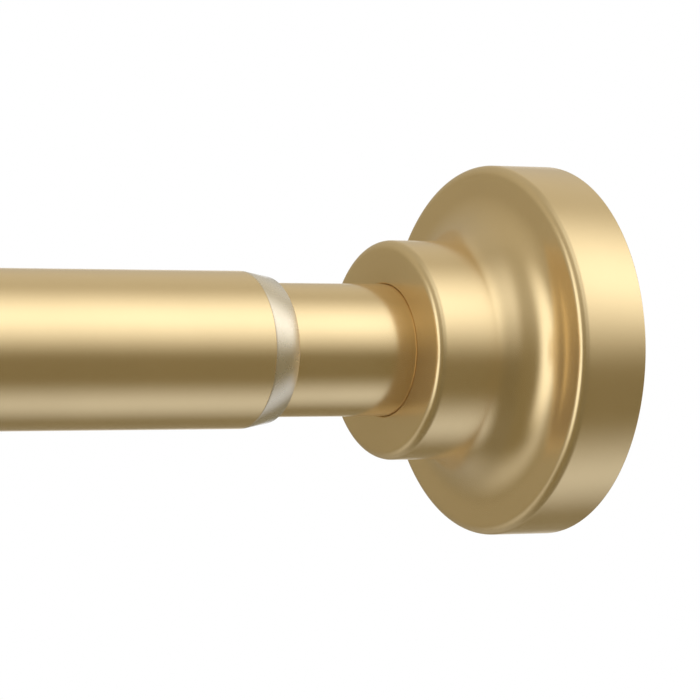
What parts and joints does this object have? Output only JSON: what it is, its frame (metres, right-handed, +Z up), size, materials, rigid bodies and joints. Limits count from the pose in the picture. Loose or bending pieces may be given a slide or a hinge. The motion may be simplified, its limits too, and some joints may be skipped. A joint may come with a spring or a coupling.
{
  "type": "spring tension rod",
  "caption": "Telescopic spring tension rod with stepped round end caps, a twist lock and an inner spring, for hanging a curtain between two facing walls.",
  "frame": {"origin": "centre of the left pad's wall face", "axes": "+X along the rod from the left wall to the right wall, +Z up, -Y towards the room"},
  "size_m": [0.42, 0.0612, 0.0612],
  "materials": {
    "tube_gold": "satin gold plating",
    "cap_gold": "satin gold plating",
    "bush_plastic": "milky translucent",
    "foot_plastic": "fine matt",
    "pad_rubber": "matt",
    "guide_plastic": "fine matt",
    "ring_rubber": "matt",
    "spring_steel": "drawn wire",
    "rod_steel": "zinc plated"
  },
  "bodies": {
    "outer": {"outer_tube": "tube_gold", "mouth_bush": "bush_plastic", "left_foot": "foot_plastic", "left_pad": "pad_rubber", "left_cover": "cap_gold"},
    "expander": {"collet": "guide_plastic", "drag_ring": "ring_rubber"},
    "cone": {"cone_nut": "guide_plastic"},
    "plunger": {"plunger_rod": "rod_steel", "stop_nut": "rod_steel", "thrust_washer": "rod_steel", "seat_clip": "rod_steel", "spring_seat": "rod_steel"},
    "inner": {"inner_tube": "tube_gold", "tube_plug": "guide_plastic", "spring_stop": "guide_plastic", "right_foot": "foot_plastic", "right_pad": "pad_rubber", "right_cover": "cap_gold", "spring": "spring_steel"}
  },
  "joints": [
    {"name": "telescope", "type": "slide", "parent": "outer", "child": "expander", "axis": [1, 0, 0], "range_m": [-0.006, 0.19]},
    {"name": "lock_twist", "type": "hinge", "parent": "expander", "child": "plunger", "pos_m": [0.08, 0, 0], "axis": [1, 0, 0], "range_deg": [0, 720]},
    {"name": "cone_slide", "type": "slide", "parent": "expander", "child": "cone", "axis": [-1, 0, 0], "range_m": [0, 0.004]},
    {"name": "spring_press", "type": "slide", "parent": "plunger", "child": "inner", "axis": [-1, 0, 0], "range_m": [0, 0.014], "stiffness_N_per_m": 2500, "springref_m": -0.016, "deforming": ["spring"]}
  ],
  "couplings": [
    {"joint": "cone_slide", "follows": "lock_twist", "m_per_rad": 0.00031831}
  ]
}
